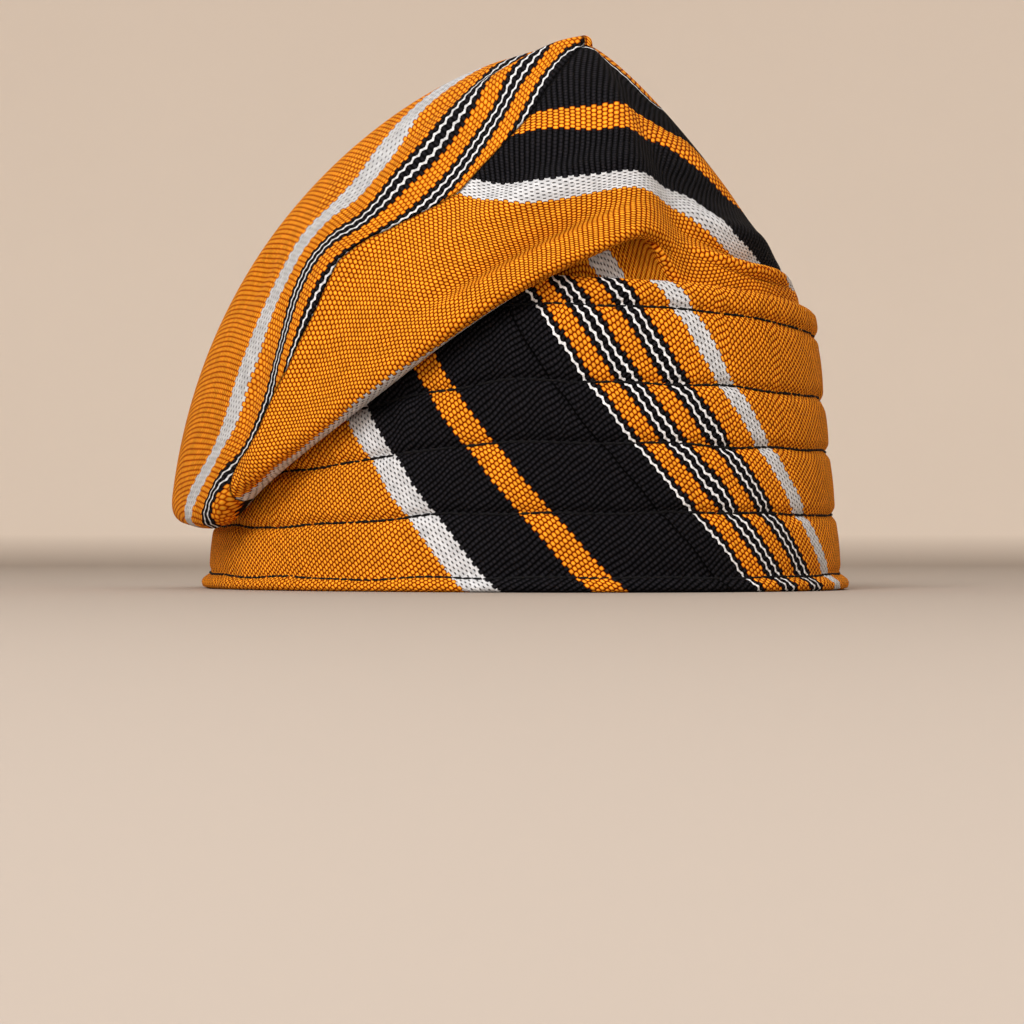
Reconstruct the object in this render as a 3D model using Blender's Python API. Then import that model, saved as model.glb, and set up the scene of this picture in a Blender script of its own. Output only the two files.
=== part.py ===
"""A fila, the soft cap of hand-woven strip cloth: a stiff quilted band and a bag-shaped crown.

The wearer faces -Y. The cap rests on the band's lower edge at z = 0. The crown stands up
from inside the band to an off-centre peak and flops over the band on the wearer's right.
Lengths are in metres. Angles round the cap are in degrees, anticlockwise from above,
starting where the crown hangs lowest.
"""

import math

import bmesh
import bpy
import numpy as np

# Head opening, inside the band at its lower edge
HEAD_BREADTH = 0.158
HEAD_LENGTH = 0.200

# Band
BAND_HEIGHT = 0.080
BAND_WALL = 0.0030
BAND_LEAN = 0.0080
HEM_HEIGHT = 0.0055
HEM_BULGE = 0.0016
QUILT_PUFF = 0.0008
RIM_ROLL = 0.0010

# Crown
CLOTH = 0.0020
CROWN_RISE = 0.0648
PEAK_SIDEWAYS = 0.014
PEAK_FORWARD = 0.040
TUCK = 0.012
STAND_OFF = 0.0095
CREST_LIFT = 0.0034
SEAM_RIDGE = 0.0022
FOLD_DEPTH = 0.0040

# How blunt the crown's top is: the power that rounds its outline, for flat cloth, and what a
# fullness of 1 adds to it. A smaller power makes a blunter top.
TOP_POWER = 0.12
TOP_POWER_GAIN = 0.93

# Gap between the crown's cloth and the band
CLEARANCE = 0.0008

# Compass heading of angle 0, where the crown hangs lowest: the wearer's right, a little back
DROOP_HEADING = 150

SPLINE_SAMPLES = 12
BAND_STEPS = 64
CROWN_STEPS = 84
INNER_STEPS = 11
OUTER_STEPS = 15

# How much closer the outer cloth's points lie near its ends than in its middle
END_CROWDING = 0.5

# The five rows of stitching: (share of the band's height in front, the same at the back)
STITCH_ROWS = (
    (0.045, 0.085),
    (0.250, 0.310),
    (0.470, 0.555),
    (0.665, 0.715),
    (0.910, 0.905),
)

# The hem's rounded outline: (share of HEM_BULGE outward, share of HEM_HEIGHT up)
HEM_OUTLINE = ((0.6, 0), (1.0, 0.35), (0.6, 0.8))

# Where each padded stretch between two rows reaches its full thickness, as shares of the way
PUFF_SHARES = (0.25, 0.75)

# The same for the rolled rim above the last row
RIM_PUFF_SHARE = 0.4

# The crown's shape round the band. Columns: angle; the band's height there and the height
# of the crown's lowest fold, as shares of BAND_HEIGHT; how far the fold stands off the
# band, as a share of STAND_OFF; how full the outer cloth is; how far the cloth hangs over
# the band (1) or rises straight out of it (0).
CROWN_TABLE = (
    (0, 0.79, 0.235, 1.14, 0.42, 1),
    (14, 0.79, 0.215, 1.12, 0.41, 1),
    (26, 0.79, 0.205, 1.08, 0.40, 1),
    (36, 0.80, 0.225, 1.02, 0.40, 1),
    (42, 0.81, 0.290, 0.98, 0.39, 1),
    (48, 0.83, 0.360, 0.92, 0.38, 1),
    (55, 0.86, 0.425, 0.88, 0.37, 1),
    (66, 0.91, 0.580, 0.82, 0.36, 1),
    (76, 0.96, 0.760, 0.75, 0.35, 1),
    (87, 1.00, 0.910, 0.68, 0.33, 1),
    (94, 1.00, 1.010, 0.58, 0.31, 1),
    (106, 1.00, 1.160, 0.42, 0.28, 1),
    (120, 0.99, 1.050, 0.20, 0.24, 0),
    (150, 0.96, 1.000, 0.00, 0.16, 0),
    (180, 0.94, 0.980, 0.00, 0.14, 0),
    (225, 0.91, 0.950, 0.00, 0.20, 0),
    (270, 0.87, 0.930, 0.00, 0.28, 0),
    (290, 0.85, 0.930, 0.20, 0.34, 0),
    (304, 0.84, 0.990, 0.50, 0.37, 1),
    (314, 0.83, 0.900, 0.70, 0.39, 1),
    (328, 0.81, 0.550, 1.00, 0.41, 1),
    (345, 0.80, 0.290, 1.14, 0.42, 1),
)

# Shares of the way up the outer cloth, from its lowest fold to the peak, at which the
# rounded outline is worked out
OUTLINE_SHARES = (0.05, 0.14, 0.26, 0.40, 0.54, 0.67, 0.79, 0.88, 0.94, 0.98, 1.0)

# The top seam's path over the outer cloth: (share of the way up, angle), and half the width
# of its ridge in degrees: at the lowest fold, and what is added towards the peak
SEAM_PATH = (
    (0.00, 42),
    (0.30, 46),
    (0.50, 52),
    (0.70, 62),
    (0.85, 78),
    (0.97, 110),
)
SEAM_HALF_WIDTH = 9
SEAM_WIDENING = 26

# Soft folds of the outer cloth. Columns: angle and share of the way up of the middle;
# half-widths in the same measures; slant, in degrees of angle for the whole way up;
# depth as a share of FOLD_DEPTH, inward where negative.
FOLDS = (
    (92, 0.20, 26, 0.07, 0, -0.55),
    (88, 0.36, 24, 0.07, 0, 0.45),
    (150, 0.22, 30, 0.08, -60, -0.50),
    (140, 0.36, 26, 0.08, -60, 0.30),
    (12, 0.42, 10, 0.06, 0, -0.40),
    (230, 0.35, 22, 0.12, 40, -0.45),
    (262, 0.50, 20, 0.12, 40, 0.35),
)


def clear_scene():
    for old in list(bpy.data.objects):
        bpy.data.objects.remove(old)


def fabric(name, colour, roughness):
    material = bpy.data.materials.new(name)
    material.use_nodes = True
    shader = material.node_tree.nodes["Principled BSDF"]
    shader.inputs["Base Color"].default_value = (*colour, 1)
    shader.inputs["Roughness"].default_value = roughness
    shader.inputs["Metallic"].default_value = 0
    return material


def closed_loop(rows, column):
    """A table's column as 360 values, one for each degree, with its corners rounded off."""
    angles = [row[0] for row in rows]
    values = [row[column] for row in rows]
    degrees = np.arange(360)
    straight = np.interp(degrees, angles, values, period=360)
    reach = 6
    kernel = 1 + np.cos(np.pi * np.arange(-reach, reach + 1) / (reach + 1))
    kernel /= kernel.sum()
    padded = np.concatenate([straight[-reach:], straight, straight[:reach]])
    return np.convolve(padded, kernel, "valid")


RIM, FOLD, STAND, FULL, DROOP = (closed_loop(CROWN_TABLE, i) for i in range(1, 6))


def around(values, angle):
    """The value of a 360-degree column at any angle."""
    return float(np.interp(angle, np.arange(360), values, period=360))


def rim_height(angle):
    return BAND_HEIGHT * around(RIM, angle)


def direction(angle):
    heading = math.radians(DROOP_HEADING + angle)
    return np.array([math.cos(heading), math.sin(heading)])


def band_radius(angle, height, offset):
    """Distance from the axis to the band's outer face, moved outward by offset."""
    lean = BAND_LEAN * height / BAND_HEIGHT
    half_breadth = HEAD_BREADTH / 2 + BAND_WALL - lean + offset
    half_length = HEAD_LENGTH / 2 + BAND_WALL - lean + offset
    across, along = direction(angle)
    return half_breadth * half_length / math.hypot(half_length * across, half_breadth * along)


def band_point(angle, height, offset):
    x, y = direction(angle) * band_radius(angle, height, offset)
    return np.array([x, y, height])


def row_height(row, angle):
    """Height of a row of stitches. Its share of the band's height eases from front to back."""
    front, back = row
    forward = (1 + math.sin(math.radians(angle))) / 2
    return rim_height(angle) * (back + (front - back) * forward)


def band_section(angle):
    """One cut through the band, from its inner lower edge, down, out and up over the rim."""
    rim = rim_height(angle)
    heights = [row_height(row, angle) for row in STITCH_ROWS]
    section = [
        (-BAND_WALL, HEM_HEIGHT),
        (-BAND_WALL, 0),
    ]
    section += [(HEM_BULGE * out, HEM_HEIGHT * up) for out, up in HEM_OUTLINE]
    for low, high in zip(heights, heights[1:]):
        section.append((-QUILT_PUFF, low))
        section += [(0, low + (high - low) * share) for share in PUFF_SHARES]
    top = heights[-1]
    section += [
        (-QUILT_PUFF, top),
        (0, top + (rim - top) * RIM_PUFF_SHARE),
        (-RIM_ROLL, rim),
        (RIM_ROLL - BAND_WALL, rim),
        (-BAND_WALL, top),
    ]
    return [band_point(angle, height, offset) for offset, height in section]


def ring_mesh(name, sections):
    """Closed surface through a ring of closed sections."""
    mesh = bpy.data.meshes.new(name)
    shape = bmesh.new()
    rings = [[shape.verts.new(point) for point in section] for section in sections]
    for here, after in zip(rings, rings[1:] + rings[:1]):
        for i in range(len(here)):
            j = (i + 1) % len(here)
            shape.faces.new((here[i], after[i], after[j], here[j]))
    bmesh.ops.recalc_face_normals(shape, faces=shape.faces)
    shape.to_mesh(mesh)
    shape.free()
    mesh.shade_smooth()
    return mesh


def spline(points):
    """A smooth curve that follows its points and starts and ends on the first and last.

    It passes nearest to point i after (i + 1) * SPLINE_SAMPLES steps.
    """
    points = np.vstack([points[:1], points[:1], points, points[-1:], points[-1:]])
    t = np.linspace(0, 1, SPLINE_SAMPLES, endpoint=False)[:, None]
    weights = ((1 - t) ** 3, 3 * t**3 - 6 * t**2 + 4, -3 * t**3 + 3 * t**2 + 3 * t + 1, t**3)
    pieces = [
        sum(w * p for w, p in zip(weights, points[i : i + 4])) / 6
        for i in range(len(points) - 3)
    ]
    return np.vstack(pieces + [points[-1:]])


def peak_point():
    sideways = direction(180) * PEAK_SIDEWAYS
    forward = direction(90) * PEAK_FORWARD
    return np.array([*(sideways + forward), BAND_HEIGHT + CROWN_RISE])


def crown_section(angle):
    """One cut through the crown's cloth: up inside the band, over its rim, down, up to the peak."""
    rim = rim_height(angle)
    hang = around(DROOP, angle)
    inside = -BAND_WALL - CLEARANCE - CLOTH / 2
    outside = CLEARANCE + CLOTH / 2
    fold = BAND_HEIGHT * around(FOLD, angle)
    top = max(rim, fold)
    crest = top + CREST_LIFT * hang
    stand = outside + STAND_OFF * around(STAND, angle)
    hanging = (
        (inside, rim - TUCK),
        (inside, rim - TUCK / 2),
        (inside, rim),
        (inside, crest),
        (outside, crest),
        (outside, top),
        (outside, (top + fold) / 2),
        (outside, fold),
        (stand, fold),
    )
    rise = (top - rim + TUCK) / (len(hanging) - 1)
    straight = [(inside, rim - TUCK + rise * i) for i in range(len(hanging))]
    lower = [
        band_point(angle, (1 - hang) * up_b + hang * up_a, (1 - hang) * out_b + hang * out_a)
        for (out_a, up_a), (out_b, up_b) in zip(hanging, straight)
    ]
    start, peak = lower[-1], peak_point()
    full = around(FULL, angle)
    power = TOP_POWER + TOP_POWER_GAIN * full
    upper = []
    for share in OUTLINE_SHARES:
        spread = (1 - share) + full * 2 * share * (1 - share) ** power
        across = peak[:2] + (start[:2] - peak[:2]) * spread
        upper.append(np.array([*across, start[2] + (peak[2] - start[2]) * share]))
    return np.array(lower), np.array([start] + upper)


def evenly(curve, places, steps, crowding):
    """Points at equal steps of places along a curve, closer together near both ends."""
    shares = np.linspace(0, 1, steps + 1)
    shares -= crowding * np.sin(2 * np.pi * shares) / (2 * np.pi)
    wanted = places[0] + shares * (places[-1] - places[0])
    return np.column_stack([np.interp(wanted, places, curve[:, i]) for i in range(3)])


def crown_column(angle, inner_steps, outer_steps):
    """Points up one cut: first to the lowest fold, then over the outer cloth to the peak."""
    lower, upper = crown_section(angle)
    curve = spline(np.vstack([lower, upper[1:]]))
    turn = len(lower) * SPLINE_SAMPLES
    hidden, outer = curve[: turn + 1], curve[turn:]
    walked = np.append(0, np.cumsum(np.linalg.norm(np.diff(outer, axis=0), axis=1)))
    below = evenly(hidden, np.arange(len(hidden)), inner_steps, 0)
    return np.vstack([below, evenly(outer, walked, outer_steps, END_CROWDING)[1:]])


def bump(distance):
    """A round hump, 1 in the middle and 0 from one half-width away."""
    return np.where(np.abs(distance) < 1, (1 + np.cos(np.pi * distance)) / 2, 0)


def signed_turn(angle):
    """An angle brought between -180 and 180 degrees."""
    return (angle + 180) % 360 - 180


def fold_height(angle, share):
    """How far a point of the outer cloth stands out, for its folds and the top seam's ridge."""
    total = 0
    for middle, up, wide, tall, slant, depth in FOLDS:
        aside = signed_turn(angle - middle - slant * (share - up)) / wide
        total += FOLD_DEPTH * depth * bump(aside) * bump((share - up) / tall)
    shares, angles = zip(*SEAM_PATH)
    seam = np.interp(share, shares, angles)
    half_width = SEAM_HALF_WIDTH + SEAM_WIDENING * share**3
    if share < shares[-1]:
        total += SEAM_RIDGE * bump(signed_turn(angle - seam) / half_width)
    return total


def crown_grid(around_steps, inner_steps, outer_steps):
    """The crown's middle surface as a grid of points, one column for each angle."""
    angles = np.arange(around_steps) * 360 / around_steps
    grid = np.array([crown_column(angle, inner_steps, outer_steps) for angle in angles])
    along = np.roll(grid, -1, axis=0) - np.roll(grid, 1, axis=0)
    upward = np.gradient(grid, axis=1)
    outward = np.cross(along, upward)
    length = np.linalg.norm(outward, axis=2, keepdims=True)
    outward = np.divide(outward, length, out=np.zeros_like(outward), where=length > 0)
    for column, angle in enumerate(angles):
        for row in range(inner_steps + 1, inner_steps + outer_steps):
            share = (row - inner_steps) / outer_steps
            grid[column, row] += outward[column, row] * fold_height(angle, share)
    return grid


def crown_mesh(name, grid):
    """The crown's cloth: quads between the columns, closed by a fan at the peak."""
    mesh = bpy.data.meshes.new(name)
    shape = bmesh.new()
    peak = shape.verts.new(grid[0, -1])
    columns = [[shape.verts.new(point) for point in column[:-1]] for column in grid]
    for here, after in zip(columns, columns[1:] + columns[:1]):
        for i in range(len(here) - 1):
            shape.faces.new((here[i], after[i], after[i + 1], here[i + 1]))
        shape.faces.new((here[-1], after[-1], peak))
    shape.to_mesh(mesh)
    shape.free()
    mesh.shade_smooth()
    return mesh


def add_object(name, mesh, material, parent):
    mesh.materials.append(material)
    piece = bpy.data.objects.new(name, mesh)
    piece.parent = parent
    bpy.context.scene.collection.objects.link(piece)
    return piece


def make_band(parent):
    sections = [band_section(i * 360 / BAND_STEPS) for i in range(BAND_STEPS)]
    cloth = fabric("band_cloth", (0.62, 0.21, 0.01), 0.8)
    return add_object("band", ring_mesh("band", sections), cloth, parent)


def make_crown(parent):
    grid = crown_grid(CROWN_STEPS, INNER_STEPS, OUTER_STEPS)
    cloth = fabric("crown_cloth", (0.70, 0.25, 0.02), 0.8)
    crown = add_object("crown", crown_mesh("crown", grid), cloth, parent)
    thickness = crown.modifiers.new("cloth", "SOLIDIFY")
    thickness.thickness = CLOTH
    thickness.offset = 0
    thickness.use_even_offset = False
    return crown


def centre_on_origin(cap, pieces):
    """Moves the cap so that its outline's middle, seen from above, is over the origin."""
    bpy.context.view_layer.update()
    graph = bpy.context.evaluated_depsgraph_get()
    corners = np.array(
        [corner[:2] for piece in pieces for corner in piece.evaluated_get(graph).bound_box]
    )
    middle = (corners.min(axis=0) + corners.max(axis=0)) / 2
    cap.location = (-middle[0], -middle[1], 0)


def main():
    clear_scene()
    cap = bpy.data.objects.new("cap", None)
    bpy.context.scene.collection.objects.link(cap)
    pieces = [make_band(cap), make_crown(cap)]
    centre_on_origin(cap, pieces)


main()
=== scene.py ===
# %% [markdown]
# # A fila: a cap of hand-woven strip cloth
#
# The cap has two sewn pieces. A stiff quilted band goes round the head. A soft crown, the bag,
# comes up out of the band, is gathered to an off-centre peak, and is folded down over the band
# on the wearer's right. Both are cut on the slant from the same striped cloth.
#
# The imported CAD model is the fixed frame of this scene. It is loaded first, and the band's box
# is kept, and its middle places the cap.

import math
from functools import partial

import bmesh
import bpy
import numpy as np
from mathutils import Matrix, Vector


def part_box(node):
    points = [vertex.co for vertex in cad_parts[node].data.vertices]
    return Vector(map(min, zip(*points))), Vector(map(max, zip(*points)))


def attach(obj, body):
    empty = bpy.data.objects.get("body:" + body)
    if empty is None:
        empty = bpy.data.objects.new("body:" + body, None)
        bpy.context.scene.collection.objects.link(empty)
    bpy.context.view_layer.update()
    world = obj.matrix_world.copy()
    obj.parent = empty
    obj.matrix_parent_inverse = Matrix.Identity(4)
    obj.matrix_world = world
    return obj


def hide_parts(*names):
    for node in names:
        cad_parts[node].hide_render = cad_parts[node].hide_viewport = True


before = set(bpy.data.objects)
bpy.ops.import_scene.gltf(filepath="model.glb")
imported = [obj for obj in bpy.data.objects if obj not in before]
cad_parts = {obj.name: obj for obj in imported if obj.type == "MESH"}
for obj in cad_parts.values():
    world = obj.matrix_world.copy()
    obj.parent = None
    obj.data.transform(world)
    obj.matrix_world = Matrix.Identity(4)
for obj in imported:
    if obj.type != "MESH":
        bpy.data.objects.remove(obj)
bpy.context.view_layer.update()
low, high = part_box("band")
BAND_MIDDLE = np.array([(low.x + high.x) / 2, (low.y + high.y) / 2, 0])
print("frame nodes", sorted(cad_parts), "band middle", BAND_MIDDLE.round(4))

# %% [markdown]
# ## Sizes and the camera
#
# Every length is in metres. The sizes are the ones that the solid model has, so the cloth lies
# where the solids are. Angles round the cap are in degrees, anticlockwise from above, starting
# where the crown hangs lowest.
#
# The camera comes early, because everything else is judged through it. It stands 0.9 m from the
# band's middle, 30 degrees to the wearer's right of straight ahead, 10 mm above the surface, with
# a long lens. A small shift puts the cap where it stands in the frame. The plain view transform
# shows colours as they are. The default one would pale the deep orange of the dye.

# %% Sizes
HEAD_BREADTH = 0.158
HEAD_LENGTH = 0.200
BAND_HEIGHT = 0.080
BAND_WALL = 0.0030
BAND_LEAN = 0.0080
CLOTH = 0.0020
CROWN_RISE = 0.0648
PEAK_SIDEWAYS = 0.017
PEAK_FORWARD = 0.040
TUCK = 0.012
STAND_OFF = 0.0095
CREST_LIFT = 0.0034
SEAM_RIDGE = 0.0022
FOLD_DEPTH = 0.0040
TOP_POWER = 0.65
TOP_POWER_GAIN = -0.45
CLEARANCE = 0.0008
DROOP_HEADING = 150

# %% Camera
view_out = Vector((math.sin(math.radians(-30)), -math.cos(math.radians(-30)), 0))
camera = bpy.data.objects.new("camera", bpy.data.cameras.new("camera"))
bpy.context.scene.collection.objects.link(camera)
camera.location = Vector(BAND_MIDDLE) + view_out * 0.9 + Vector((0, 0, 0.010))
camera.rotation_euler = (-view_out).to_track_quat("-Z", "Y").to_euler()
camera.data.lens = 113.4
camera.data.sensor_width = 36
camera.data.clip_start = 0.01
camera.data.shift_x = -0.0063
camera.data.shift_y = 0.0396
bpy.context.scene.camera = camera
bpy.context.scene.view_settings.view_transform = "Standard"
print("camera at", [round(v, 3) for v in camera.location])

# %% [markdown]
# ## How the crown changes round the cap
#
# The crown is a soft bag, so no simple solid has its form. It could be simulated, but a worn cap
# keeps folds that a hand has set, and a simulation seldom finds them. Here one short table says
# how the cloth runs at a few angles round the band, and everything between is blended.

# %% The crown's table
# Columns: angle; the band's height there and the height of the crown's lowest fold, as shares of
# BAND_HEIGHT; how far the fold stands off the band, as a share of STAND_OFF; how full the outer
# cloth is; how far the cloth hangs over the band (1) or rises straight out of it (0).
CROWN_TABLE = (
    (0, 0.79, 0.235, 1.06, 0.455, 1),
    (14, 0.79, 0.215, 1.05, 0.435, 1),
    (26, 0.79, 0.210, 1.03, 0.43, 1),
    (32, 0.80, 0.280, 1.01, 0.43, 1),
    (37, 0.80, 0.335, 1.00, 0.43, 1),
    (42, 0.81, 0.380, 0.98, 0.42, 1),
    (48, 0.83, 0.440, 0.92, 0.40, 1),
    (55, 0.86, 0.510, 0.88, 0.38, 1),
    (66, 0.91, 0.632, 0.82, 0.36, 1),
    (76, 0.96, 0.765, 0.75, 0.35, 1),
    (87, 1.00, 0.910, 0.68, 0.33, 1),
    (94, 1.00, 0.995, 0.64, 0.31, 1),
    (104, 0.99, 1.090, 0.60, 0.28, 1),
    (110, 0.985, 1.150, 0.50, 0.27, 1),
    (117, 0.98, 1.060, 0.24, 0.25, 0),
    (132, 0.96, 1.000, 0.10, 0.21, 0),
    (150, 0.94, 0.990, 0.00, 0.16, 0),
    (180, 0.925, 0.970, 0.00, 0.12, 0),
    (225, 0.91, 0.950, 0.00, 0.24, 0),
    (270, 0.87, 0.930, 0.00, 0.32, 0),
    (290, 0.85, 0.930, 0.20, 0.34, 0),
    (304, 0.84, 0.990, 0.50, 0.40, 1),
    (314, 0.83, 0.900, 0.70, 0.425, 1),
    (328, 0.81, 0.550, 0.97, 0.445, 1),
    (345, 0.80, 0.290, 1.07, 0.455, 1),
)
OUTLINE_SHARES = (0.05, 0.14, 0.26, 0.40, 0.54, 0.67, 0.79, 0.88, 0.94, 0.98, 1.0)
SPLINE_SAMPLES = 12


def closed_loop(column):
    """A column of the crown's table as 360 values, one a degree, with its corners rounded off."""
    angles = [row[0] for row in CROWN_TABLE]
    values = [row[column] for row in CROWN_TABLE]
    straight = np.interp(np.arange(360), angles, values, period=360)
    reach = 6
    kernel = 1 + np.cos(np.pi * np.arange(-reach, reach + 1) / (reach + 1))
    padded = np.concatenate([straight[-reach:], straight, straight[:reach]])
    return np.convolve(padded, kernel / kernel.sum(), "valid")


RIM, FOLD, STAND, FULL, DROOP = (closed_loop(column) for column in range(1, 6))


def around(values, angle):
    """The value of a 360-degree column at any angle."""
    return np.interp(angle, np.arange(360), values, period=360)


def rim_height(angle):
    return BAND_HEIGHT * around(RIM, angle)


print("crown's lowest fold", round(BAND_HEIGHT * FOLD.min() * 1000, 1), "mm above the surface")

# %% [markdown]
# ## The band's line and the crown's cuts
#
# The band is an oval that leans in as it rises. A point on it is given by its angle, its height
# and how far it lies outside the band's outer face. One cut through the crown runs up inside the
# band, over its rim, down to the fold, and up over the outer cloth to the peak. A smooth curve
# through a few chosen points makes each cut, because cloth has no corners.


# %% Points on the band
def direction(angle):
    heading = np.radians(DROOP_HEADING + angle)
    return np.cos(heading), np.sin(heading)


def band_point(angle, height, offset):
    lean = BAND_LEAN * height / BAND_HEIGHT
    half_breadth = HEAD_BREADTH / 2 + BAND_WALL - lean + offset
    half_length = HEAD_LENGTH / 2 + BAND_WALL - lean + offset
    x, y = direction(angle)
    radius = half_breadth * half_length / np.hypot(half_length * x, half_breadth * y)
    return np.array([x * radius, y * radius, height])


# %% One cut through the crown
def peak_point():
    sideways, forward = np.array(direction(180)), np.array(direction(90))
    across = sideways * PEAK_SIDEWAYS + forward * PEAK_FORWARD
    return np.array([*across, BAND_HEIGHT + CROWN_RISE])


def crown_section(angle):
    """The control points of one cut: those below the fold's turn, and those up to the peak."""
    rim, hang = rim_height(angle), around(DROOP, angle)
    fold = BAND_HEIGHT * around(FOLD, angle)
    inside = -BAND_WALL - CLEARANCE - CLOTH / 2
    outside = CLEARANCE + CLOTH / 2
    top = max(rim, fold)
    crest = top + CREST_LIFT * hang
    stand = outside + STAND_OFF * around(STAND, angle)
    hanging = (
        (inside, rim - TUCK),
        (inside, rim - TUCK / 2),
        (inside, rim),
        (inside, crest),
        (outside, crest),
        (outside, top),
        (outside, (top + fold) / 2),
        (outside, fold),
        (stand, fold),
    )
    rise = (top - rim + TUCK) / (len(hanging) - 1)
    straight = [(inside, rim - TUCK + rise * i) for i in range(len(hanging))]
    lower = [
        band_point(angle, (1 - hang) * up_b + hang * up_a, (1 - hang) * out_b + hang * out_a)
        for (out_a, up_a), (out_b, up_b) in zip(hanging, straight)
    ]
    start, peak, full = lower[-1], peak_point(), around(FULL, angle)
    power = TOP_POWER + TOP_POWER_GAIN * full
    upper = []
    for share in OUTLINE_SHARES:
        spread = (1 - share) + full * 2 * share * (1 - share) ** power
        across = peak[:2] + (start[:2] - peak[:2]) * spread
        upper.append([*across, start[2] + (peak[2] - start[2]) * share])
    return np.array(lower), np.array(upper)


def spline(points):
    """A smooth curve that follows its points and starts and ends on the first and last."""
    points = np.vstack([points[:1], points[:1], points, points[-1:], points[-1:]])
    t = np.linspace(0, 1, SPLINE_SAMPLES, endpoint=False)[:, None]
    weights = ((1 - t) ** 3, 3 * t**3 - 6 * t**2 + 4, -3 * t**3 + 3 * t**2 + 3 * t + 1, t**3)
    pieces = [
        sum(w * p for w, p in zip(weights, points[i : i + 4])) / 6
        for i in range(len(points) - 3)
    ]
    return np.vstack(pieces + [points[-1:]])


def walked(curve):
    """Distance walked along a curve at each of its points."""
    return np.append(0, np.cumsum(np.linalg.norm(np.diff(curve, axis=0), axis=1)))


def evenly(curve, places, steps, crowding):
    """Points at equal steps of places along a curve, closer together near both ends."""
    shares = np.linspace(0, 1, steps + 1)
    shares -= crowding * np.sin(2 * np.pi * shares) / (2 * np.pi)
    wanted = places[0] + shares * (places[-1] - places[0])
    return np.column_stack([np.interp(wanted, places, curve[:, i]) for i in range(3)])


def crown_column(angle, inner_steps, outer_steps):
    lower, upper = crown_section(angle)
    curve = spline(np.vstack([lower, upper]))
    turn = len(lower) * SPLINE_SAMPLES
    hidden, outer = curve[: turn + 1], curve[turn:]
    below = evenly(hidden, np.arange(len(hidden)), inner_steps, 0)
    return np.vstack([below, evenly(outer, walked(outer), outer_steps, 0.5)[1:]])


print("cloth from the fold to the peak, at the droop",
      round(walked(crown_column(30, 11, 60)[11:])[-1] * 1000), "mm")

# %% [markdown]
# ## Folds and the top seam's ridge
#
# A worn crown has a few soft folds. Each is a round hump or hollow, placed by angle and by the
# share of the way up the outer cloth. The top seam, where the bag's two faces meet, makes a low
# ridge from the drooped corner up to the peak.

# %% Soft folds
SEAM_PATH = ((0.00, 42), (0.30, 46), (0.50, 52), (0.70, 62), (0.85, 78), (0.97, 110))
SEAM_HALF_WIDTH = 9
SEAM_WIDENING = 26
# Columns: angle and share of the way up of the middle; half-widths in the same measures; slant,
# in degrees for the whole way up; depth as a share of FOLD_DEPTH, inward where negative.
FOLDS = (
    (90, 0.19, 24, 0.07, 0, -0.85),
    (92, 0.33, 26, 0.08, 0, 0.75),
    (136, 0.06, 24, 0.05, -40, 0.60),
    (136, 0.15, 26, 0.06, -60, -0.60),
    (136, 0.25, 26, 0.06, -60, 0.45),
    (136, 0.36, 26, 0.07, -60, -0.30),
    (12, 0.42, 10, 0.06, 0, -0.40),
    (230, 0.35, 22, 0.12, 40, -0.45),
    (262, 0.50, 20, 0.12, 40, 0.35),
)


def bump(distance):
    """A round hump, 1 in the middle and 0 from one half-width away."""
    return np.where(np.abs(distance) < 1, (1 + np.cos(np.pi * distance)) / 2, 0)


def signed_turn(angle):
    return (angle + 180) % 360 - 180


def fold_heights(angle, shares):
    """How far each point up one cut stands out, for the folds and the seam's ridge."""
    total = np.zeros(len(shares))
    for middle, up, wide, tall, slant, depth in FOLDS:
        aside = signed_turn(angle - middle - slant * (shares - up)) / wide
        total += FOLD_DEPTH * depth * bump(aside) * bump((shares - up) / tall)
    seam = np.interp(shares, *zip(*SEAM_PATH))
    half_width = SEAM_HALF_WIDTH + SEAM_WIDENING * shares**3
    ridge = SEAM_RIDGE * bump(signed_turn(angle - seam) / half_width)
    return total + np.where(shares < SEAM_PATH[-1][0], ridge, 0)


# %% The crown's middle surface
CROWN_COLUMNS = 280
INNER_ROWS = 28
OUTER_ROWS = 112

crown_angles = np.arange(CROWN_COLUMNS) * 360 / CROWN_COLUMNS
crown_grid = np.array([crown_column(a, INNER_ROWS, OUTER_ROWS) for a in crown_angles])


def outward(grid):
    """Unit normals of a grid of points whose columns go round the cap."""
    along = np.roll(grid, -1, axis=0) - np.roll(grid, 1, axis=0)
    normal = np.cross(along, np.gradient(grid, axis=1))
    length = np.linalg.norm(normal, axis=2, keepdims=True)
    return np.divide(normal, length, out=np.zeros_like(normal), where=length > 0)


def reach_from_peak(grid):
    """Distance from the peak, walked down each column."""
    steps = np.linalg.norm(np.diff(grid, axis=1), axis=2)
    below = np.cumsum(steps[:, ::-1], axis=1)[:, ::-1]
    return np.concatenate([below, np.zeros((len(grid), 1))], axis=1)


shares = np.clip((np.arange(crown_grid.shape[1]) - INNER_ROWS) / OUTER_ROWS, 0, 1)
lift = np.array([fold_heights(angle, shares) for angle in crown_angles])
lift[:, : INNER_ROWS + 1] = 0
lift[:, -1] = 0
crown_grid += outward(crown_grid) * lift[:, :, None]
reach = reach_from_peak(crown_grid) * 1000
print("crown grid", crown_grid.shape, "longest way to the peak", round(reach.max()), "mm")

# %% [markdown]
# ## The cloth laid flat
#
# The stripes are woven in, so they follow the threads and not the form. Each face of the bag is
# unrolled round the peak into a flat plane, in millimetres. The stripes are lines in that plane.
# A worn cap pulls the cloth askew, so a short, given list of places that each stripe passes then
# bends those lines a little. The bending is a thin-plate curve, the shape that a thin sheet takes
# between pins.

# %% Unroll the crown round its peak
SEAM_ANGLE = 47
BACK_SEAM_ANGLE = 232


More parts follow.
